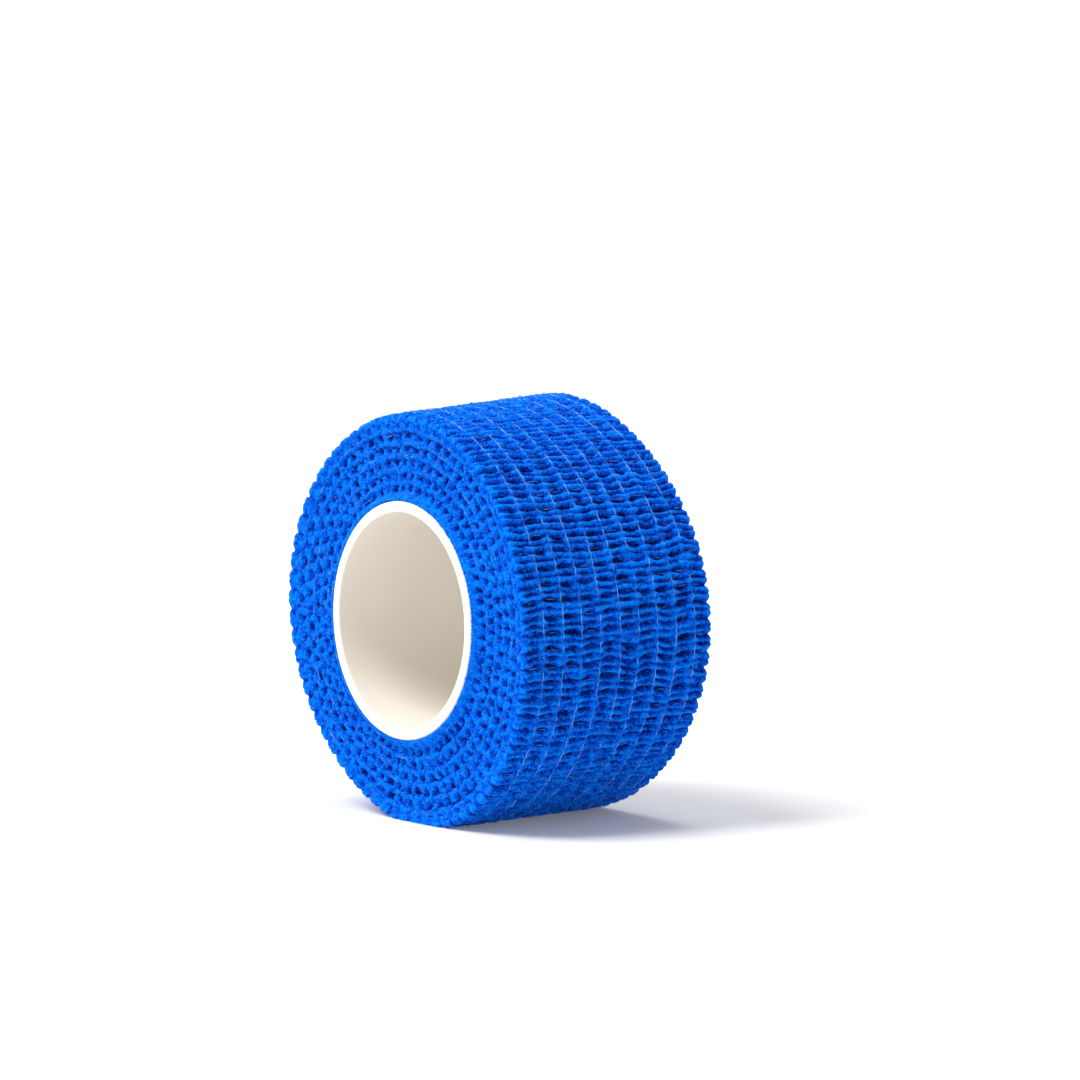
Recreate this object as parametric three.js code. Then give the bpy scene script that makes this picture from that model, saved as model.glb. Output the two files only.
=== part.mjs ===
// A roll of crinkled cohesive bandage tape, wound on a white plastic tube.
// Millimetres, +Z up. The roll stands on its winding with its axis along Y, front end towards -Y.
// The origin is the middle of the small flat spot that the roll stands on.

import * as THREE from 'three';
import { mergeVertices } from 'three/addons/utils/BufferGeometryUtils.js';

// Tape winding
const TAPE_WIDTH = 25;
const FRONT_RADIUS = 23.5; // over the ribs, at the front end
const BACK_RADIUS = 24.3; // the winding is a little fuller at its back end
const OVALITY = 0.03; // share of the radius by which the winding leans out of round
const FRONT_LOBES = 0.43; // height of three shallow bulges round the winding at its front end
const BACK_LOBES = -0.65; // and at its back end, where they lie the other way round
const RIM_ROUNDING = 1.1; // how far the soft outer edges turn in
const FACE_HOLLOW = 0.35; // how far an end face dips half way between core and rim
const FLAT_DEPTH = 0.6; // how much of the winding the flat spot presses in

// Crosswise ribs of the crinkled tape, over one pucker: deep valley, crest, shallow valley, crest
const PUCKERS = 72;
const PUCKER_DEPTHS = [0.42, 0, 0.2, 0];
const PUCKER_UNEVENNESS = 0.25;

// Plastic tube
const CORE_OUTER_RADIUS = 13.6;
const CORE_INNER_RADIUS = 12.3;
const CORE_STAND_OUT = 0.5; // beyond the tape at each end
const CORE_EDGE = 0.3; // bevel on each of its four edges
const CORE_GAP = 0.3; // between the tube and the innermost turn
const CORE_SIDES = 96;

const HALF_WIDTH = TAPE_WIDTH / 2;
const BORE_RADIUS = CORE_OUTER_RADIUS + CORE_GAP;
const POINTS_PER_PUCKER = PUCKER_DEPTHS.length;
const AROUND = PUCKERS * POINTS_PER_PUCKER;

// A closed ring turned about Y from a profile of [radius, y] corners, as one mesh without seams.
function turnedRing(corners, sides) {
  const profile = corners.map(([radius, y]) => new THREE.Vector2(radius, y));
  profile.push(profile[0].clone());
  const turned = new THREE.LatheGeometry(profile, sides);
  turned.deleteAttribute('normal');
  turned.deleteAttribute('uv');
  return mergeVertices(turned, 1e-4);
}

// Crest radius of the winding at a place along its width.
function windingRadius(y) {
  return THREE.MathUtils.mapLinear(y, -HALF_WIDTH, HALF_WIDTH, FRONT_RADIUS, BACK_RADIUS);
}

// How far the winding stands out of round at a place along its width and round it.
function outOfRound(y, angle) {
  const lobes = THREE.MathUtils.mapLinear(y, -HALF_WIDTH, HALF_WIDTH, FRONT_LOBES, BACK_LOBES);
  return lobes * Math.sin(3 * angle) - OVALITY * FRONT_RADIUS * Math.sin(2 * angle);
}

// Depth of the rib pattern at a point around the roll, uneven from one pucker to the next.
function puckerDepth(step) {
  const pucker = Math.floor(step / POINTS_PER_PUCKER);
  const unevenness = 1 + PUCKER_UNEVENNESS * Math.sin(pucker * 2.4) * Math.cos(pucker * 0.7);
  return PUCKER_DEPTHS[step % POINTS_PER_PUCKER] * unevenness;
}

// The wound tape: a turned ring whose outer points are moved to the ribs, the oval and the flat spot.
function tapeGeometry() {
  const shoulder = HALF_WIDTH - RIM_ROUNDING;
  const rimStep = RIM_ROUNDING * (1 - Math.SQRT1_2);
  const faceMiddle = (BORE_RADIUS + FRONT_RADIUS) / 2;
  const geometry = turnedRing([
    [BORE_RADIUS, -HALF_WIDTH],
    [faceMiddle, FACE_HOLLOW - HALF_WIDTH],
    [FRONT_RADIUS - RIM_ROUNDING, -HALF_WIDTH],
    [FRONT_RADIUS - rimStep, rimStep - HALF_WIDTH],
    [FRONT_RADIUS, -shoulder],
    [FRONT_RADIUS, shoulder],
    [FRONT_RADIUS - rimStep, HALF_WIDTH - rimStep],
    [FRONT_RADIUS - RIM_ROUNDING, HALF_WIDTH],
    [faceMiddle, HALF_WIDTH - FACE_HOLLOW],
    [BORE_RADIUS, HALF_WIDTH],
  ], AROUND);

  const floor = FLAT_DEPTH - FRONT_RADIUS;
  const points = geometry.getAttribute('position');
  const point = new THREE.Vector3();
  for (let i = 0; i < points.count; i += 1) {
    point.fromBufferAttribute(points, i);
    const radius = Math.hypot(point.x, point.z);
    const share = (radius - BORE_RADIUS) / (FRONT_RADIUS - BORE_RADIUS);
    const angle = Math.atan2(point.x, point.z);
    const step = Math.round(angle / (2 * Math.PI) * AROUND + AROUND) % AROUND;
    const fullness = windingRadius(point.y) - FRONT_RADIUS;
    const rib = Math.max(0, 1 - (FRONT_RADIUS - radius) / RIM_ROUNDING) * puckerDepth(step);
    const moved = radius + share * (fullness + outOfRound(point.y, angle)) - rib;
    point.x = moved * Math.sin(angle);
    point.z = Math.max(moved * Math.cos(angle) + share * fullness, floor);
    points.setXYZ(i, point.x, point.y, point.z);
  }
  return geometry;
}

// The tube: a plain plastic ring with bevelled edges.
function coreGeometry() {
  const end = HALF_WIDTH + CORE_STAND_OUT;
  return turnedRing([
    [CORE_INNER_RADIUS, CORE_EDGE - end],
    [CORE_INNER_RADIUS + CORE_EDGE, -end],
    [CORE_OUTER_RADIUS - CORE_EDGE, -end],
    [CORE_OUTER_RADIUS, CORE_EDGE - end],
    [CORE_OUTER_RADIUS, end - CORE_EDGE],
    [CORE_OUTER_RADIUS - CORE_EDGE, end],
    [CORE_INNER_RADIUS + CORE_EDGE, end],
    [CORE_INNER_RADIUS, end - CORE_EDGE],
  ], CORE_SIDES);
}

function namedMesh(name, geometry, colour, roughness) {
  geometry.computeVertexNormals();
  const material = new THREE.MeshStandardMaterial({ color: colour, roughness, metalness: 0 });
  const mesh = new THREE.Mesh(geometry, material);
  mesh.name = name;
  return mesh;
}

const roll = new THREE.Group();
roll.add(namedMesh('tape_roll', tapeGeometry(), 0x0a5fe0, 0.9));
roll.add(namedMesh('core', coreGeometry(), 0xf6f3ec, 0.45));

// Stand the flat spot on Z = 0, with the roll centred over the origin.
const extent = new THREE.Box3().setFromObject(roll);
const middle = extent.getCenter(new THREE.Vector3());
roll.position.set(-middle.x, -middle.y, -extent.min.z);

export default roll;
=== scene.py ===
# A roll of blue crinkled cohesive bandage tape on a white plastic tube, seen from its front right.
# Metres, +Z up, in the frame of the CAD solids. The roll's axis runs along Y.

import math

import bpy
import numpy as np
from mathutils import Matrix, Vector


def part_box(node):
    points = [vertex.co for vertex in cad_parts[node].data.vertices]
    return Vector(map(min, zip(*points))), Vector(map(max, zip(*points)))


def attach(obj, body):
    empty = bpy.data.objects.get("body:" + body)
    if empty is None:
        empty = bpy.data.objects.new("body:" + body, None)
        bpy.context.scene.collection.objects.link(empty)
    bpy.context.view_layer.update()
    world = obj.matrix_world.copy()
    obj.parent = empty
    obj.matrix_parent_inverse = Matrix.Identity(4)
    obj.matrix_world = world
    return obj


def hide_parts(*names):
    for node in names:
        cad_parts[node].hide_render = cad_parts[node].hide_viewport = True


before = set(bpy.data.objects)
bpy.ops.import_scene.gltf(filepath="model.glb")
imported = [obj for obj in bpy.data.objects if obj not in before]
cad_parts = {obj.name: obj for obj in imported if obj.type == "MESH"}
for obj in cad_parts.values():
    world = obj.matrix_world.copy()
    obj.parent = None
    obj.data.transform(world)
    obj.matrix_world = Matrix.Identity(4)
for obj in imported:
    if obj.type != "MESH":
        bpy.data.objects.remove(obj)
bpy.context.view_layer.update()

MM = 0.001

# Sizes of the roll, read from its solids where they hold them
TAPE_LOW, TAPE_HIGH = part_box("tape_roll")
CORE_LOW, CORE_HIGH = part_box("core")
HALF_WIDTH = (TAPE_HIGH.y - TAPE_LOW.y) / 2
AXIS_HEIGHT = (CORE_LOW.z + CORE_HIGH.z) / 2
CORE_RADIUS = (CORE_HIGH.z - CORE_LOW.z) / 2
CORE_END = CORE_HIGH.y
AXIS_X = (CORE_LOW.x + CORE_HIGH.x) / 2
CORE_WALL = 1.3 * MM
FLAT_DEPTH = 0.6 * MM
FRONT_RADIUS = AXIS_HEIGHT + FLAT_DEPTH
BACK_RADIUS = 24.3 * MM
OVALITY = 0.03  # share of the radius by which the winding leans out of round
FRONT_LOBES = 0.43 * MM  # height of three shallow bulges round the winding at its front end
BACK_LOBES = -0.65 * MM  # and at its back end, where they lie the other way round
FACE_HOLLOW = 0.35 * MM  # how far an end face dips half way between tube and rim

# The tape: elastic threads run round the roll, puckers run across it
PUCKERS = 72
PUCKER_CROWDING = 0.12  # share by which the puckers lie closer on the roll's right than on its left
COLUMNS = 10
COLUMN_WIDTH = 2 * HALF_WIDTH / COLUMNS
RIM_ARCH = 0.58 * MM  # height of the arches in which the outer turn's edges run
FACE_ARCH = 0.68 * MM  # and of those of the inner turns
EDGE_THICKNESS = 0.82 * MM  # of the puckered tape, seen at its edge
TURN_PITCH = 1.48 * MM  # from one turn's edge to the next, as they show at an end
PUCKERS_LOST = 1.5  # fewer puckers in each further turn inwards
TURNS = 7
TUBE_HUG = 0.38 * MM  # how far the innermost turns stand up round the tube
INNER_TURN_RADIUS = CORE_RADIUS + 0.05 * MM

# Crinkles of the outer turn. Half lengths are in puckers round the roll, half widths in columns across it
PIT_LENGTH = 0.205  # of the pits, one to each pucker
SLOT_LENGTH = 0.12  # of the narrower slots half way between two pits
VALLEY_LENGTH = 0.09  # of the valley that joins a row of pits across the tape
CREASE_LENGTH = 0.05  # of the crease that joins a row of slots
TROUGH_WIDTH = 0.38  # of a pit or slot
PIT_STRENGTH = 1.2
SLOT_STRENGTH = 0.85
CREASE_STRENGTH = 0.20
TROUGH_MM = 0.76  # depth of a trough of strength 1, in millimetres
RIDGE_MM = 0.15  # height of the two ridges in each pucker, in millimetres

# Crinkles of the inner turns' edges, as they show at an end
END_PIT_LENGTH = 0.25  # half length in puckers
END_PIT_MM = 0.46  # half height along the radius, in millimetres
END_GAP_MM = 0.17  # half height of the gap between two turns, in millimetres
END_TROUGH_MM = 0.95  # depth of a pit of strength 1, in millimetres

# Threads and fibres. Real fibres are near 0.02 mm thick and are drawn about twice as thick, to show
THREAD_RADIUS = 0.021 * MM
FIBRE_RADIUS = 0.021 * MM
FIBRE_RINGS = 4
FIBRES_OUTSIDE = 13000
FIBRES_AT_ENDS = 10000

# Each random set has a seed of its own, so that none shifts when another changes
SEED = 7
DRIFT_SEED = 23
LUMP_SEED = 31

# Unevenness of the pits and slots, one value for each pucker and column
CELL_RNG = np.random.default_rng(SEED)
PIT_SIZE = CELL_RNG.uniform(0.6, 1.0, (PUCKERS, COLUMNS))
PIT_SHIFT = CELL_RNG.normal(0, 0.05, (PUCKERS, COLUMNS))
PIT_WIDTH = CELL_RNG.uniform(0.85, 1.15, (PUCKERS, COLUMNS))
SLOT_SIZE = CELL_RNG.uniform(0.35, 1.0, (PUCKERS, COLUMNS))


def select_only(piece):
    """Leave just this object selected and active."""
    bpy.ops.object.select_all(action="DESELECT")
    piece.select_set(True)
    bpy.context.view_layer.objects.active = piece


def name_piece(name):
    """Name the object that an operator has just added, and its mesh."""
    piece = bpy.context.object
    piece.name = name
    piece.data.name = name
    return piece


def settle(piece):
    """Put an object's place into its mesh."""
    select_only(piece)
    bpy.ops.object.transform_apply(location=True, rotation=True, scale=True)


def finish_piece(piece, material, slot, *nodes):
    """Give a piece its material and its body, and hide the CAD nodes that it stands for."""
    piece.data.materials.clear()
    piece.data.materials.append(material)
    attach(piece, "root")
    if nodes:
        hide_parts(*nodes)


# Soft unevenness, worked out on arrays


def smooth(value):
    """Ease a share from 0 to 1 in and out."""
    share = np.clip(value, 0, 1)
    return share * share * (3 - 2 * share)


def step_between(low, high, value):
    """0 below low, 1 above high, eased between them."""
    return smooth((value - low) / (high - low))


def soft_noise(along, across, cells_along, cells_across, rng):
    """Even random lumps from -1 to 1 on a strip that closes on itself along its length.

    Places are shares of the strip's length and width, and the cells are the lumps along and across it."""
    lattice = rng.uniform(-1, 1, (cells_along, cells_across + 2))
    along = np.mod(along, 1) * cells_along
    across = np.clip(across, 0, 1) * cells_across
    i, j = np.floor(along).astype(int), np.floor(across).astype(int)
    u, v = smooth(along - i), smooth(across - j)
    i, i_next = i % cells_along, (i + 1) % cells_along
    near = lattice[i, j] * (1 - u) + lattice[i_next, j] * u
    far = lattice[i, j + 1] * (1 - u) + lattice[i_next, j + 1] * u
    return near * (1 - v) + far * v


# Shape of the roll


def place(radius, angle, y):
    """Put points, given round the tube's axis, into the frame.

    They get the solid's fuller back end, its lean and bulges, and its flat spot on the floor."""
    share = (radius - INNER_TURN_RADIUS) / (FRONT_RADIUS - INNER_TURN_RADIUS)
    back = (y / HALF_WIDTH + 1) / 2
    fullness = (BACK_RADIUS - FRONT_RADIUS) * back
    lobes = FRONT_LOBES + (BACK_LOBES - FRONT_LOBES) * back
    out_of_round = lobes * np.sin(3 * angle) - OVALITY * FRONT_RADIUS * np.sin(2 * angle)
    moved = radius + share * (fullness + out_of_round)
    x = moved * np.sin(angle) + AXIS_X
    z = moved * np.cos(angle) + share * fullness + AXIS_HEIGHT
    return np.stack([x, y, np.maximum(z, 0)], axis=-1)


def pucker_row(angle, y):
    """How many puckers round the roll a place lies, with a slow drift across the tape."""
    turn = angle / (2 * math.pi)
    across = y / (2 * HALF_WIDTH) + 0.5
    rng = np.random.default_rng(DRIFT_SEED)
    drift = 0.16 * soft_noise(turn, across, 22, 9, rng) + 0.08 * soft_noise(turn, across, 75, 20, rng)
    return (angle - PUCKER_CROWDING * np.cos(angle)) / (2 * math.pi) * PUCKERS + drift


def arch_depth(row):
    """How far an arched edge lies under its crests, in shares: cusps at whole rows, a notch half way."""
    from_cusp = np.abs(row - np.round(row))
    notch = 0.22 * np.exp(-(((0.5 - from_cusp) / 0.07) ** 2))
    return 1 - np.sin(math.pi * from_cusp) ** 0.8 + notch


def pucker_relief(angle, y):
    """Depth of the crinkled tape under its crests, in metres, and painted shade for each place: the
    deeper it lies, the darker the cloth is coloured there.

    Pits and slots lie between the elastic threads, one of each to a pucker and column. Valleys and
    creases cross the whole width. The tape's rims are smoother, and run in arches."""
    turn = angle / (2 * math.pi)
    across = y / (2 * HALF_WIDTH) + 0.5
    rng = np.random.default_rng(LUMP_SEED)
    lumps = 0.05 * soft_noise(turn, across, 300, 50, rng) + 0.07 * soft_noise(turn, across, 520, 78, rng)
    lumps += 0.08 * soft_noise(turn, across, 400, 22, rng)
    ragged = soft_noise(turn, across, 260, 44, rng)
    torn = soft_noise(turn, across, 420, 60, rng)
    to_edge = COLUMNS * np.clip(np.minimum(across, 1 - across), 0, 1)
    at_rim = step_between(0.5, 0.0, to_edge)
    row = pucker_row(angle, y) + (0.035 * ragged + 0.025 * torn) * (1 - at_rim)
    lumps *= 1 - 0.6 * at_rim
    i = np.round(row).astype(int)
    own_row = row - i
    i = i % PUCKERS
    column = across * COLUMNS + 0.07 * soft_noise(turn, across, 300, 40, rng)
    column = np.clip(column, 0, COLUMNS - 1e-6)
    j = np.floor(column).astype(int)
    off_middle = (column - j - 0.5) / PIT_WIDTH[i, j]
    in_cell = smooth((0.5 - np.abs(column - j - 0.5)) / 0.22)
    lens = ((own_row - PIT_SHIFT[i, j]) / PIT_LENGTH) ** 2 + (off_middle / TROUGH_WIDTH) ** 2
    pit = PIT_STRENGTH * PIT_SIZE[i, j] * np.exp(-(lens**1.6)) * (1 - 0.6 * at_rim)
    valley = (0.20 + 0.12 * in_cell) * np.exp(-((own_row / VALLEY_LENGTH) ** 2)) * (1 - at_rim)
    between = np.round(row - 0.5).astype(int)
    size = SLOT_SIZE[between % PUCKERS, j]
    slot_row = row - between - 0.5
    slot_lens = (slot_row / SLOT_LENGTH) ** 2 + (off_middle / TROUGH_WIDTH) ** 2
    slot = SLOT_STRENGTH * size * np.exp(-(slot_lens**1.5)) * (1 - 0.5 * at_rim)
    crease = CREASE_STRENGTH * np.exp(-((slot_row / CREASE_LENGTH) ** 2)) * (1 - at_rim)
    arch = RIM_ARCH / MM * arch_depth(row) * at_rim
    troughs = np.maximum(np.maximum(pit, valley), np.maximum(slot, crease))
    between_ridges = (0.5 + 0.5 * np.cos(4 * math.pi * row)) * (1 - 0.7 * at_rim)
    depth = 0.04 + TROUGH_MM * troughs + RIDGE_MM * between_ridges + arch + lumps
    # Painted shade: the cloth's colour is darkened in the pits, slots, grooves, arches and low lumps,
    # where shade falls.
    painted_shade_and_tone = 0.74 * troughs + 0.16 * between_ridges + 0.5 * arch * at_rim + 2.1 * lumps + 0.1
    return np.maximum(depth, 0) * MM, np.clip(painted_shade_and_tone, 0, 1)


def ring_mesh(name, points, painted_shade_and_tone):
    """A closed ring with one row of points for each step round it: a flat strip rolled up both ways.

    Its attribute keeps the values given: on the cloth, how deep each place lies, which darkens its colour
    as painted shade; on a thread, its tone."""
    around, section_points = painted_shade_and_tone.shape
    bpy.ops.object.select_all(action="DESELECT")
    bpy.ops.mesh.primitive_grid_add(x_subdivisions=around, y_subdivisions=section_points, size=1)
    piece = name_piece(name)
    flat = np.empty(len(piece.data.vertices) * 3)
    piece.data.vertices.foreach_get("co", flat)
    along, across, _ = flat.reshape(-1, 3).T + 0.5
    step = np.round(along * around).astype(int) % around
    corner = np.round(across * section_points).astype(int) % section_points
    piece.data.vertices.foreach_set("co", points[step, corner].reshape(-1).astype(np.float32))
    shade = piece.data.attributes.new("painted_shade_and_tone", "FLOAT", "POINT")
    shade.data.foreach_set("value", np.clip(painted_shade_and_tone, 0, 1)[step, corner].astype(np.float32))
    piece.data.update()
    select_only(piece)
    bpy.ops.object.mode_set(mode="EDIT")
    bpy.ops.mesh.select_all(action="SELECT")
    bpy.ops.mesh.remove_doubles(threshold=0.0001 * MM)
    bpy.ops.mesh.normals_make_consistent(inside=False)
    bpy.ops.object.mode_set(mode="OBJECT")
    bpy.ops.object.shade_smooth()
    return piece


def fuzz(shape, seed):
    """Fine random heights, in metres, that make a surface as rough as matted fibres."""
    return np.random.default_rng(seed).normal(0, 0.055, shape) * MM


def outer_turn(material):
    """The outermost turn of tape: its puckered outside, its two soft edges and a plain inside.

    Its section is one closed row of points: outside, back edge, inside, front edge."""
    around = PUCKERS * 14
    across_points = 78
    edge_points = 8
    edge = EDGE_THICKNESS / 2
    shoulder = 2.5 * MM
    reach = HALF_WIDTH - 0.02 * MM - edge
    flat_y = np.linspace(-reach, reach, across_points)
    turn_in = np.linspace(0, math.pi, edge_points + 2)[1:-1]
    back_y = reach + edge * np.sin(turn_in)
    back_drop = edge * (1 - np.cos(turn_in))
    inside_y = np.array([reach, reach - shoulder, shoulder - reach, -reach])
    y = np.concatenate([flat_y, back_y, inside_y, -back_y[::-1]])
    drop = np.concatenate([np.zeros(across_points), back_drop, np.full(4, 2 * edge), back_drop[::-1]])
    shown = np.concatenate([np.ones(across_points + edge_points), np.zeros(4), np.ones(edge_points)])
    angle = np.arange(around)[:, None] * (2 * math.pi / around)
    angle, y = angle + 0 * y, y + 0 * angle
    relief, painted_shade_and_tone = pucker_relief(angle, y)
    off_rim = step_between(0.0, 1.2 * MM, HALF_WIDTH - np.abs(y))
    relief = np.maximum(relief + fuzz(relief.shape, SEED + 17) * (0.35 + 0.65 * off_rim), 0)
    inside = 1.2 * RIM_ARCH * (1 - shown)
    points = place(FRONT_RADIUS - drop - shown * relief - inside, angle, y)
    piece = ring_mesh("outer_turn", points, shown * painted_shade_and_tone)
    finish_piece(piece, material, "crinkled_bandage", "tape_roll")
    return piece


def wound_edges(radius, angle, side):
    """How far the inner turns' edges lie inside an end's plane, in metres, and painted shade for each
    place: darker in the pits and in the gaps between turns.

    Between two turns lies a row of pits, half a pucker out of step with the next row."""
    rng = np.random.default_rng(SEED + (3 if side > 0 else 5))
    turn = angle / (2 * math.pi)
    share = (radius - INNER_TURN_RADIUS) / (FRONT_RADIUS - INNER_TURN_RADIUS)
    shift_row = 0.13 * soft_noise(turn, share, 120, 8, rng)
    shift_row += 0.09 * soft_noise(turn, share, 300, 26, rng)
    shift_radius = 0.13 * soft_noise(turn, share, 110, 8, rng)
    shift_radius += 0.09 * soft_noise(turn, share, 300, 26, rng)
    lumps = 0.09 * soft_noise(turn, share, 260, 22, rng) + 0.12 * soft_noise(turn, share, 520, 52, rng)
    breaks = step_between(-0.8, 0.5, soft_noise(turn, share, 190, 16, rng))
    sizes = rng.uniform(0.5, 1.0, (TURNS + 1, PUCKERS))
    pits = 0 * radius
    valleys = 0 * radius
    first_row = pucker_row(angle, side * HALF_WIDTH)
    from_left = np.mod(turn + 0.75, 1) - 0.5
    for k in range(TURNS + 1):
        row = first_row + k / 2 - round(k * PUCKERS_LOST) * from_left + shift_row
        i = np.round(row).astype(int)
        own_row = row - i
        crest = (FRONT_RADIUS - EDGE_THICKNESS - k * TURN_PITCH) / MM
        off_arch = radius / MM - crest + FACE_ARCH / MM * arch_depth(row) - 0.12 + shift_radius
        off_pit = radius / MM - crest + 0.5 * FACE_ARCH / MM + shift_radius
        lens = (own_row / END_PIT_LENGTH) ** 2 + (off_pit / END_PIT_MM) ** 2
        pits = np.maximum(pits, sizes[k, i % PUCKERS] * np.exp(-(lens**1.4)))
        valleys = np.maximum(valleys, np.exp(-((off_arch / END_GAP_MM) ** 2)))
    at_tube = step_between(1.1, 0.2, (radius - INNER_TURN_RADIUS) / MM)
    cloth = 1 - at_tube
    valleys = 0.42 * valleys * breaks
    dish = FACE_HOLLOW / MM * np.sin(math.pi * np.clip(share, 0, 1))
    troughs = END_TROUGH_MM * np.maximum(pits, valleys)
    depth = (troughs + lumps + dish + 0.05) * cloth - TUBE_HUG / MM * at_tube
    # Painted shade: the cloth's colour is darkened in the pits, in the gaps between turns and in low
    # lumps.
    painted_shade_and_tone = (0.95 * pits + 0.9 * valleys + 1.6 * lumps) * cloth + 0.1
    return depth * MM, np.clip(painted_shade_and_tone, 0, 1)


def end_turns(name, side, material):
    """The inner turns as they show at one end: their crinkled edges, on a ring that reaches mid width."""
    around = 930
    rows = 100
    inner = INNER_TURN_RADIUS
    outer = FRONT_RADIUS - EDGE_THICKNESS
    wall = np.array([outer, outer - MM, outer - MM, inner + MM, inner + MM, inner])
    wall_depth = np.array([1.6, 2.4, HALF_WIDTH / MM, HALF_WIDTH / MM, 2.4, 1.2]) * MM
    radius = np.concatenate([np.linspace(inner, outer, rows), wall])
    depth = np.concatenate([np.zeros(rows), wall_depth])
    on_face = np.concatenate([np.ones(rows), np.zeros(len(wall))])
    angle = np.arange(around)[:, None] * (2 * math.pi / around)
    angle, radius = angle + 0 * radius, radius + 0 * angle
    relief, painted_shade_and_tone = wound_edges(radius, angle, side)
    relief += fuzz(relief.shape, SEED + (11 if side > 0 else 13))
    y = side * (HALF_WIDTH - depth - on_face * relief)
    piece = ring_mesh(name, place(radius, angle, y), on_face * painted_shade_and_tone)
    finish_piece(piece, material, "crinkled_bandage", "tape_roll")
    return piece


def elastic_thread(number, material):
    """One elastic thread laid round the roll on the crests of the outer turn.

    Its attribute keeps its tone, as a strand's does."""
    around = PUCKERS * 12
    sides = 4
    rng = np.random.default_rng(SEED + 100 + number)
    angle = np.arange(around) * (2 * math.pi / around)
    turn = angle / (2 * math.pi)
    sway = 0.10 * soft_noise(turn, 0 * angle, 14, 1, rng) + 0.02 * soft_noise(turn, 0 * angle, 90, 1, rng)
    y = (number - COLUMNS / 2) * COLUMN_WIDTH + sway * MM
    relief, _ = pucker_relief(angle, y)
    radius = FRONT_RADIUS - np.minimum(relief, 0.14 * MM) + 0.02 * MM
    section = np.arange(sides) * (2 * math.pi / sides)
    radii = radius[:, None] + THREAD_RADIUS * np.cos(section)
    ys = y[:, None] + THREAD_RADIUS * np.sin(section)
    points = place(radii, angle[:, None] + 0 * section, ys)
    tone = 0.5 + 0.5 * soft_noise(turn, 0 * angle, 210, 1, rng)
    piece = ring_mesh("elastic_thread_%d" % number, points, tone[:, None] + 0 * radii)
    finish_piece(piece, material, "crinkled_bandage")
    return piece


def unit(vectors):
    """The same directions, with a length of 1."""
    return vectors / np.linalg.norm(vectors, axis=-1, keepdims=True)


def strand_mesh(name, centres, outward, thickness, tone):
    """Many thin closed strands in one mesh, each along its own row of centres and pointed at both ends.

    They are cut from one flat grid: the faces that link two strands go, and doubles are merged. Strands
    past the grid's last full row are left out. Their attribute keeps each strand's tone."""
    sides = 3
    columns = 40
    strips, rings = len(centres) // columns, centres.shape[1]
    centres, outward, tone = (values[: strips * columns] for values in (centres, outward, tone))
    along = unit(np.gradient(centres, axis=1))
    sideways = unit(np.cross(along, outward[:, None]))
    upwards = np.cross(sideways, along)
    taper = np.sqrt(np.sin(math.pi * np.linspace(0, 1, rings)).clip(0, 1))
    girth = thickness * taper[:, None, None]
    corner = np.arange(sides + 1) % sides * (2 * math.pi / sides)
    ring = np.cos(corner)[:, None] * sideways[:, :, None] + np.sin(corner)[:, None] * upwards[:, :, None]
    points = centres[:, :, None] + girth * ring
    points = points.reshape(strips, columns, rings, sides + 1, 3).transpose(0, 2, 1, 3, 4)
    steps, corners = strips * rings, columns * (sides + 1)
    points = points.reshape(steps, corners, 3)

    bpy.ops.object.select_all(action="DESELECT")
    bpy.ops.mesh.primitive_grid_add(x_subdivisions=steps - 1, y_subdivisions=corners - 1, size=1)
    piece = name_piece(name)
    mesh = piece.data
    middles = np.empty(len(mesh.polygons) * 3)
    mesh.polygons.foreach_get("center", middles)
    face_step = np.floor((middles[0::3] + 0.5) * (steps - 1)).astype(int)
    face_corner = np.floor((middles[1::3] + 0.5) * (corners - 1)).astype(int)
    link = (face_step % rings == rings - 1) | (face_corner % (sides + 1) == sides)
    flat = np.empty(len(mesh.vertices) * 3)
    mesh.vertices.foreach_get("co", flat)
    step = np.round((flat[0::3] + 0.5) * (steps - 1)).astype(int)
    corner = np.round((flat[1::3] + 0.5) * (corners - 1)).astype(int)
    mesh.vertices.foreach_set("co", points[step, corner].reshape(-1).astype(np.float32))
    strand = step // rings * columns + corner // (sides + 1)
    shade = mesh.attributes.new("painted_shade_and_tone", "FLOAT", "POINT")
    shade.data.foreach_set("value", np.clip(tone[strand], 0, 1).astype(np.float32))
    mesh.vertices.foreach_set("select", np.zeros(len(mesh.vertices), dtype=bool))
    mesh.edges.foreach_set("select", np.zeros(len(mesh.edges), dtype=bool))
    mesh.polygons.foreach_set("select", link)
    mesh.update()
    select_only(piece)
    bpy.context.tool_settings.mesh_select_mode = (False, False, True)
    bpy.ops.object.mode_set(mode="EDIT")
    bpy.ops.mesh.delete(type="FACE")
    bpy.context.tool_settings.mesh_select_mode = (True, False, False)
    bpy.ops.mesh.select_all(action="SELECT")
    bpy.ops.mesh.remove_doubles(threshold=0.0001 * MM)
    bpy.ops.mesh.delete_loose()
    bpy.ops.mesh.select_all(action="SELECT")
    bpy.ops.mesh.normals_make_consistent(inside=False)
    bpy.ops.object.mode_set(mode="OBJECT")
    bpy.ops.object.shade_smooth()
    return piece


def surface_outside(angle, y, lift):
    """Points on the outer turn, raised by lift, and the way out of the roll there."""
    relief, _ = pucker_relief(angle, y)
    centres = place(FRONT_RADIUS - relief + lift, angle, y)
    outward = np.stack([np.sin(angle), 0 * angle, np.cos(angle)], axis=-1)
    return centres, outward


def surface_end(radius, angle, side, lift):
    """Points on the wound edges at an end, raised by lift, and the way out of the roll there."""
    depth, _ = wound_edges(radius, angle, side)
    centres = place(radius, angle, side * (HALF_WIDTH - depth + lift))
    outward = np.stack([0 * angle, side + 0 * angle, 0 * angle], axis=-1)
    return centres, outward


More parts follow.
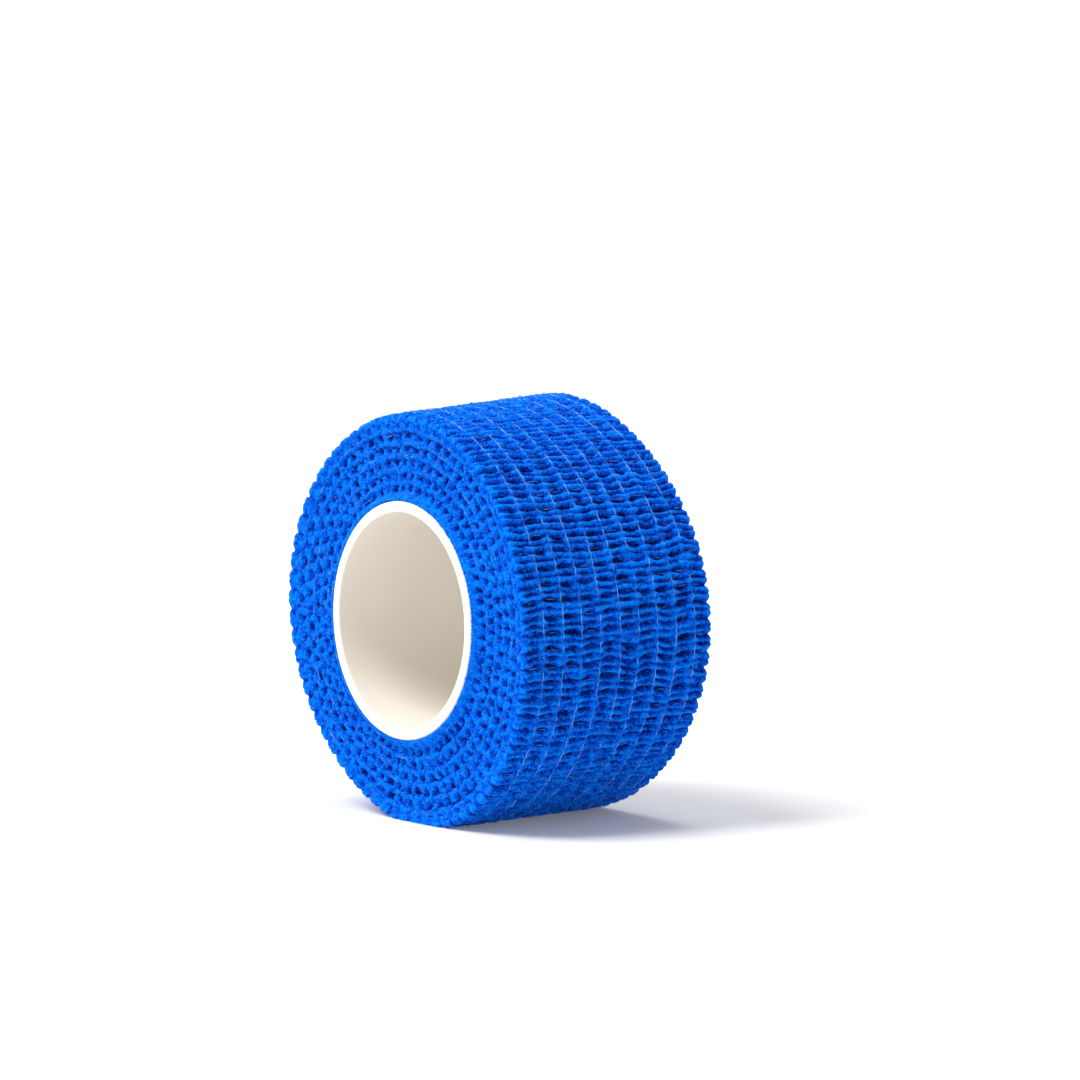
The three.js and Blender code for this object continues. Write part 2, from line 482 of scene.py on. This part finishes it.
def fibre_paths(count, rng):
    """Short bent paths: how far each point lies along, across and above the middle of its fibre."""
    share = np.linspace(-0.5, 0.5, FIBRE_RINGS)
    length = rng.uniform(0.35, 0.9, (count, 1)) * MM
    heading = rng.uniform(0, math.pi, (count, 1))
    bend = rng.normal(0, 0.25, (count, 1)) * (share**2 - 0.08)
    along = length * (share * np.cos(heading) - bend * np.sin(heading))
    across = length * (share * np.sin(heading) + bend * np.cos(heading))
    rise = (0.03 + 0.07 * np.cos(math.pi * share)) * MM
    return along, across, rise


def fibres_outside(material):
    """Short fibre ends and loops that stand out of the outer turn."""
    rng = np.random.default_rng(SEED + 41)
    along, across, rise = fibre_paths(FIBRES_OUTSIDE, rng)
    angle = rng.uniform(0, 2 * math.pi, (FIBRES_OUTSIDE, 1)) + along / FRONT_RADIUS
    y = rng.uniform(-1, 1, (FIBRES_OUTSIDE, 1)) * (HALF_WIDTH - 0.5 * MM) + across
    centres, outward = surface_outside(angle, np.clip(y, -HALF_WIDTH, HALF_WIDTH), rise)
    tone = rng.uniform(0, 1, FIBRES_OUTSIDE)
    piece = strand_mesh("fibres_outside", centres, outward[:, 1], FIBRE_RADIUS, tone)
    finish_piece(piece, material, "crinkled_bandage")
    return piece


def fibres_at_ends(material):
    """Short fibre ends and loops that stand out of the turns' edges at both ends."""
    rng = np.random.default_rng(SEED + 43)
    along, across, rise = fibre_paths(FIBRES_AT_ENDS, rng)
    area = rng.uniform((INNER_TURN_RADIUS + 0.4 * MM) ** 2, (FRONT_RADIUS - MM) ** 2, (FIBRES_AT_ENDS, 1))
    angle = rng.uniform(0, 2 * math.pi, (FIBRES_AT_ENDS, 1)) + along / np.sqrt(area)
    radius = np.sqrt(area) + across
    half = FIBRES_AT_ENDS // 2
    front, front_way = surface_end(radius[:half], angle[:half], -1, rise)
    back, back_way = surface_end(radius[half:], angle[half:], 1, rise)
    centres = np.concatenate([front, back])
    outward = np.concatenate([front_way, back_way])[:, 1]
    tone = rng.uniform(0, 1, FIBRES_AT_ENDS)
    piece = strand_mesh("fibres_at_ends", centres, outward, FIBRE_RADIUS, tone)
    finish_piece(piece, material, "crinkled_bandage")
    return piece


def angle_of_row(row, y):
    """The angle at which a pucker row crosses a place along the width."""
    angle = row * (2 * math.pi / PUCKERS)
    for _ in range(6):
        angle = angle + (row - pucker_row(angle, y)) * (2 * math.pi / PUCKERS)
    return angle


def cross_threads(material):
    """Thin threads that lie across the tape in many of its pits."""
    rings = 4
    share_of_pits = 0.62
    rng = np.random.default_rng(SEED + 61)
    row, column = (grid.reshape(-1, 1) for grid in np.mgrid[0:PUCKERS, 0:COLUMNS])
    kept = rng.uniform(0, 1, row.shape) < share_of_pits
    row, column = row[kept][:, None], column[kept][:, None]
    y_middle = (column + 0.5 - COLUMNS / 2) * COLUMN_WIDTH
    length = rng.uniform(1.0, 1.9, row.shape) * MM
    y = y_middle + rng.normal(0, 0.15, row.shape) * MM + length * np.linspace(-0.5, 0.5, rings)
    angle = angle_of_row(row + rng.normal(0, 0.06, row.shape), y_middle)
    angle = angle + rng.normal(0, 0.05, row.shape) * np.linspace(-1, 1, rings) * MM / FRONT_RADIUS
    deep = rng.uniform(0.12, 0.34, row.shape) * MM
    centres = place(FRONT_RADIUS - deep + 0 * y, angle + 0 * y, y)
    outward = np.stack([np.sin(angle), 0 * angle, np.cos(angle)], axis=-1)[:, 0]
    tone = rng.uniform(0, 0.8, len(row)) ** 1.3
    piece = strand_mesh("cross_threads", centres, outward, 0.9 * THREAD_RADIUS, tone)
    finish_piece(piece, material, "crinkled_bandage")
    return piece


def thread_ends(material):
    """Short lengths of elastic thread that show along the turns' edges at both ends."""
    rings = 7
    count = 240
    rng = np.random.default_rng(SEED + 71)
    turn_number = rng.integers(1, TURNS, (count, 1))
    radius = FRONT_RADIUS - EDGE_THICKNESS - turn_number * TURN_PITCH
    radius = radius + rng.normal(0.45, 0.2, (count, 1)) * MM
    length = rng.uniform(0.5, 2.2, (count, 1)) * MM
    angle = rng.uniform(0, 2 * math.pi, (count, 1)) + length / radius * np.linspace(-0.5, 0.5, rings)
    radius = radius + 0 * angle
    front, front_way = surface_end(radius, angle, -1, 0.02 * MM)
    back, back_way = surface_end(radius, angle, 1, 0.02 * MM)
    on_front = (np.arange(count) % 2 == 0)[:, None, None]
    centres = np.where(on_front, front, back)
    level = 0.5 * centres[:, :, 1] + 0.5 * centres[:, :, 1].mean(axis=1, keepdims=True)
    shallow = HALF_WIDTH - 0.45 * MM
    centres[:, :, 1] = np.sign(level) * np.maximum(np.abs(level), shallow)
    outward = np.where(on_front, front_way, back_way)[:, 0]
    tone = rng.uniform(0.4, 1, count)
    piece = strand_mesh("thread_ends", centres, outward, 0.8 * THREAD_RADIUS, tone)
    finish_piece(piece, material, "crinkled_bandage")
    return piece


def core_tube(material):
    """The plastic tube: a rectangular section with eased corners, spun round the roll's axis."""
    around = 192
    easing = 0.28 * MM
    bpy.ops.object.select_all(action="DESELECT")
    bpy.ops.mesh.primitive_plane_add(
        size=1,
        location=(AXIS_X, 0, AXIS_HEIGHT + CORE_RADIUS - CORE_WALL / 2),
        rotation=(0, math.pi / 2, 0),
    )
    piece = name_piece("core_tube")
    piece.scale = (CORE_WALL, 2 * CORE_END, 1)
    settle(piece)
    bpy.ops.object.mode_set(mode="EDIT")
    bpy.ops.mesh.select_all(action="SELECT")
    bpy.ops.mesh.bevel(offset=easing, segments=3, profile=0.5, affect="VERTICES")
    bpy.ops.mesh.select_all(action="SELECT")
    bpy.ops.mesh.delete(type="ONLY_FACE")
    bpy.ops.mesh.select_all(action="SELECT")
    bpy.ops.mesh.spin(steps=around, angle=2 * math.pi, center=(AXIS_X, 0, AXIS_HEIGHT), axis=(0, 1, 0))
    bpy.ops.mesh.select_all(action="SELECT")
    bpy.ops.mesh.remove_doubles(threshold=0.002 * MM)
    bpy.ops.mesh.normals_make_consistent(inside=False)
    bpy.ops.object.mode_set(mode="OBJECT")
    bpy.ops.object.shade_smooth_by_angle(angle=math.radians(35))
    finish_piece(piece, material, "core_plastic", "core")
    return piece


# Materials


def linear(hex_colour):
    """An sRGB hex colour as linear RGBA."""
    channels = [int(hex_colour[i : i + 2], 16) / 255 for i in (1, 3, 5)]
    return [c / 12.92 if c <= 0.04045 else ((c + 0.055) / 1.055) ** 2.4 for c in channels] + [1]


def add_node(material, kind, inputs=None, links=None, **settings):
    """Add a shader node with its settings, its input values and its links (input: (node, output))."""
    tree = material.node_tree
    node = tree.nodes.new(kind)
    for key, value in settings.items():
        setattr(node, key, value)
    for key, value in (inputs or {}).items():
        node.inputs[key].default_value = value
    for key, (source, output) in (links or {}).items():
        tree.links.new(source.outputs[output], node.inputs[key])
    return node


def new_material(name):
    """A material with an empty node tree."""
    material = bpy.data.materials.new(name)
    material.use_nodes = True
    material.node_tree.nodes.clear()
    return material


def add_ramp(material, source, output, stops):
    """A colour ramp on a value, from a short table of (place, hex colour)."""
    ramp = add_node(material, "ShaderNodeValToRGB", links={"Fac": (source, output)})
    elements = ramp.color_ramp.elements
    while len(elements) > 1:
        elements.remove(elements[-1])
    elements[0].position = stops[0][0]
    elements[0].color = linear(stops[0][1])
    for position, colour in stops[1:]:
        elements.new(position).color = linear(colour)
    return ramp


def crinkled_nonwoven():
    """Spunbond polypropylene dyed blue and dipped in latex: dull and fibrous, with painted shade
    darkening it in its pits and gaps, and painted glints on its fibres.

    Its grain is several times as coarse as the real fibres, which are too fine to show."""
    material = new_material("crinkled_cohesive_nonwoven")
    fibre_size = 0.16 * MM
    clump_size = 0.5 * MM
    object_place = add_node(material, "ShaderNodeTexCoord")
    # Painted shade: the depth attribute darkens the cloth's colour in its pits, creases and gaps between
    # turns.
    painted_shade_and_tone = add_node(material, "ShaderNodeAttribute", attribute_name="painted_shade_and_tone")
    clumps = add_node(
        material,
        "ShaderNodeTexNoise",
        {"Scale": 1 / clump_size, "Detail": 3.0, "Roughness": 0.6},
        {"Vector": (object_place, "Object")},
    )
    fibres = add_node(
        material,
        "ShaderNodeTexNoise",
        {"Scale": 1 / fibre_size, "Detail": 2.0, "Roughness": 0.7},
        {"Vector": (object_place, "Object")},
    )
    grain = add_node(
        material,
        "ShaderNodeMath",
        {0: 0.5, 1: 0.5},
        {0: (fibres, "Fac"), 1: (clumps, "Fac")},
        operation="ADD",
    )
    spread = add_node(
        material,
        "ShaderNodeMapRange",
        {"From Min": 0.75, "From Max": 1.25, "To Min": 0.42, "To Max": -0.42},
        {"Value": (grain, "Value")},
        clamp=False,
    )
    # The colour ramp is driven by the painted shade plus the grain.
    shade = add_node(
        material,
        "ShaderNodeMath",
        links={0: (painted_shade_and_tone, "Fac"), 1: (spread, "Result")},
        operation="ADD",
        use_clamp=True,
    )
    colour = add_ramp(
        material,
        shade,
        "Value",
        [(0.0, "#0088FF"), (0.2, "#0070FA"), (0.42, "#004ED6"), (0.7, "#0031A2"), (1.0, "#001355")],
    )
    # Painted glints: light blue specks mixed into the cloth's colour where the fibre noise runs high.
    glint = add_node(
        material,
        "ShaderNodeMapRange",
        {"From Min": 0.60, "From Max": 0.72, "To Min": 0.0, "To Max": 0.55},
        {"Value": (fibres, "Fac")},
    )
    with_painted_glints = add_node(
        material,
        "ShaderNodeMix",
        {"B": linear("#37A4FF")},
        {"Factor": (glint, "Result"), "A": (colour, "Color")},
        data_type="RGBA",
    )
    bumps = add_node(
        material,
        "ShaderNodeBump",
        {"Strength": 1.0, "Distance": 0.2 * MM},
        {"Height": (fibres, "Fac")},
    )
    surface = add_node(
        material,
        "ShaderNodeBsdfPrincipled",
        {
            "Roughness": 0.85,
            "IOR": 1.49,
            "Specular IOR Level": 0.2,
            "Specular Tint": linear("#1A7CFF"),
        },
        {"Base Color": (with_painted_glints, "Result"), "Normal": (bumps, "Normal")},
    )
    add_node(material, "ShaderNodeOutputMaterial", links={"Surface": (surface, "BSDF")})
    return material


def toned_thread(name, stops, roughness):
    """A fine thread or fibre, its tone uneven along it or from one to the next."""
    material = new_material(name)
    tone = add_node(material, "ShaderNodeAttribute", attribute_name="painted_shade_and_tone")
    colour = add_ramp(material, tone, "Fac", stops)
    surface = add_node(
        material,
        "ShaderNodeBsdfPrincipled",
        {"Roughness": roughness, "IOR": 1.53, "Specular IOR Level": 0.3},
        {"Base Color": (colour, "Color")},
    )
    add_node(material, "ShaderNodeOutputMaterial", links={"Surface": (surface, "BSDF")})
    return material


def tube_plastic():
    """Extruded polyethylene, white with a warm cast, satin; inside the bore its colour is a little
    darker, as painted shade.
    """
    material = new_material("extruded_white_polyethylene")
    cloud_size = 6 * MM
    pore_size = 0.3 * MM
    bore_radius = CORE_RADIUS - CORE_WALL
    object_place = add_node(material, "ShaderNodeTexCoord")
    clouds = add_node(
        material,
        "ShaderNodeTexNoise",
        {"Scale": 1 / cloud_size, "Detail": 2.0},
        {"Vector": (object_place, "Object")},
    )
    tone = add_ramp(material, clouds, "Fac", [(0.3, "#F3EDE3"), (0.7, "#F6F1E9")])
    across_axis = add_node(
        material,
        "ShaderNodeVectorMath",
        {1: (1, 0, 1)},
        {0: (object_place, "Object")},
        operation="MULTIPLY",
    )
    from_axis = add_node(
        material,
        "ShaderNodeVectorMath",
        {1: (AXIS_X, 0, AXIS_HEIGHT)},
        {0: (across_axis, "Vector")},
        operation="DISTANCE",
    )
    in_bore = add_node(
        material,
        "ShaderNodeMapRange",
        {
            "From Min": bore_radius + 0.02 * MM,
            "From Max": bore_radius + 0.2 * MM,
            "To Min": 1.0,
            "To Max": 0.0,
        },
        {"Value": (from_axis, "Value")},
    )
    # Painted shade: the inside of the bore is coloured darker, for the shade that falls there.
    painted_bore_shade = add_node(
        material,
        "ShaderNodeMix",
        {"B": linear("#E1DACF")},
        {"Factor": (in_bore, "Result"), "A": (tone, "Color")},
        data_type="RGBA",
    )
    pores = add_node(
        material,
        "ShaderNodeTexNoise",
        {"Scale": 1 / pore_size, "Detail": 2.0},
        {"Vector": (object_place, "Object")},
    )
    grain = add_node(
        material,
        "ShaderNodeBump",
        {"Strength": 0.12, "Distance": 0.01 * MM},
        {"Height": (pores, "Fac")},
    )
    surface = add_node(
        material,
        "ShaderNodeBsdfPrincipled",
        {"Roughness": 0.5, "IOR": 1.5, "Specular IOR Level": 0.35},
        {"Base Color": (painted_bore_shade, "Result"), "Normal": (grain, "Normal")},
    )
    add_node(material, "ShaderNodeOutputMaterial", links={"Surface": (surface, "BSDF")})
    return material


def studio_paper():
    """Matte white background paper."""
    material = new_material("matte_white_paper")
    surface = add_node(
        material,
        "ShaderNodeBsdfPrincipled",
        {
            "Base Color": linear("#DCDCDC"),
            "Roughness": 0.9,
            "Specular IOR Level": 0.1,
            "Emission Color": linear("#FFFFFF"),
            "Emission Strength": 0.11,
        },
    )
    add_node(material, "ShaderNodeOutputMaterial", links={"Surface": (surface, "BSDF")})
    return material


# Studio


def studio():
    """White paper that curves up all round, a large light in front on the left, one above and a fill."""
    floor_radius = 1.5
    air_light = 0.42
    bpy.ops.object.select_all(action="DESELECT")
    bpy.ops.mesh.primitive_circle_add(vertices=96, radius=floor_radius, fill_type="NGON")
    floor = name_piece("paper_floor")
    bpy.ops.object.mode_set(mode="EDIT")
    bpy.ops.mesh.select_all(action="SELECT")
    for rise, spread in ((0.03, 1.08), (0.07, 1.04), (0.12, 1.03), (0.28, 1.02)):
        bpy.ops.mesh.extrude_region_move(TRANSFORM_OT_translate={"value": (0, 0, rise)})
        bpy.ops.transform.resize(value=(spread, spread, 1))
    bpy.ops.mesh.delete(type="ONLY_FACE")
    bpy.ops.object.mode_set(mode="OBJECT")
    bpy.ops.object.shade_smooth()
    floor.data.materials.append(studio_paper())

    world = bpy.data.worlds.new("studio_air")
    world.use_nodes = True
    world.node_tree.nodes["Background"].inputs["Color"].default_value = linear("#FFFFFF")
    world.node_tree.nodes["Background"].inputs["Strength"].default_value = air_light
    bpy.context.scene.world = world
    centre = Vector((AXIS_X, 0, AXIS_HEIGHT))
    lights = (
        ("key_light", (-0.6, -1.25, 2.1), 1.3, 72.0),
        ("top_light", (-0.1, 0.3, 2.3), 1.0, 20.0),
        ("fill_light", (1.6, -0.6, 0.8), 0.8, 0.6),
    )
    for name, where, size, power in lights:
        bpy.ops.object.light_add(type="AREA", location=where)
        light = bpy.context.object
        light.name = name
        light.data.size = size
        light.data.energy = power
        light.rotation_mode = "QUATERNION"
        light.rotation_quaternion = (centre - Vector(where)).to_track_quat("-Z", "Y")


def photo_camera():
    """The photograph's view: low, from the front right, through a long lens."""
    azimuth, elevation = math.radians(53.67), math.radians(5.31)
    distance = 0.47
    focal_pixels, frame_pixels = 4076.4, 1080
    photo_centre = (492.1, 614.4)
    sensor = 36
    back = Vector(
        (
            math.sin(azimuth) * math.cos(elevation),
            -math.cos(azimuth) * math.cos(elevation),
            math.sin(elevation),
        )
    )
    right = Vector((math.cos(azimuth), math.sin(azimuth), 0))
    up = back.cross(right)
    centre = Vector((AXIS_X, 0, AXIS_HEIGHT))
    to_metres = distance / focal_pixels
    aim = centre + right * (frame_pixels / 2 - photo_centre[0]) * to_metres
    aim += up * (photo_centre[1] - frame_pixels / 2) * to_metres
    bpy.ops.object.camera_add(location=centre + back * distance)
    camera = bpy.context.object
    camera.data.sensor_width = sensor
    camera.data.lens = focal_pixels / frame_pixels * sensor
    camera.rotation_mode = "QUATERNION"
    camera.rotation_quaternion = (aim - camera.location).to_track_quat("-Z", "Y")
    bpy.context.scene.camera = camera


photo_camera()
studio()
bpy.context.scene.view_settings.view_transform = "Standard"

cloth = crinkled_nonwoven()
yarn = toned_thread(
    "covered_elastane_thread",
    [(0.15, "#0C56C0"), (0.45, "#5F9CB8"), (0.8, "#BFE2E4")],
    0.6,
)
fibre = toned_thread(
    "loose_polypropylene_fibre",
    [(0.0, "#0044C4"), (0.55, "#0872F6"), (1.0, "#4CA6FF")],
    0.7,
)
outer_turn(cloth)
end_turns("front_turns", -1, cloth)
end_turns("back_turns", 1, cloth)
for thread_number in range(1, COLUMNS):
    elastic_thread(thread_number, yarn)
cross_threads(yarn)
thread_ends(yarn)
fibres_outside(fibre)
fibres_at_ends(fibre)
core_tube(tube_plastic())
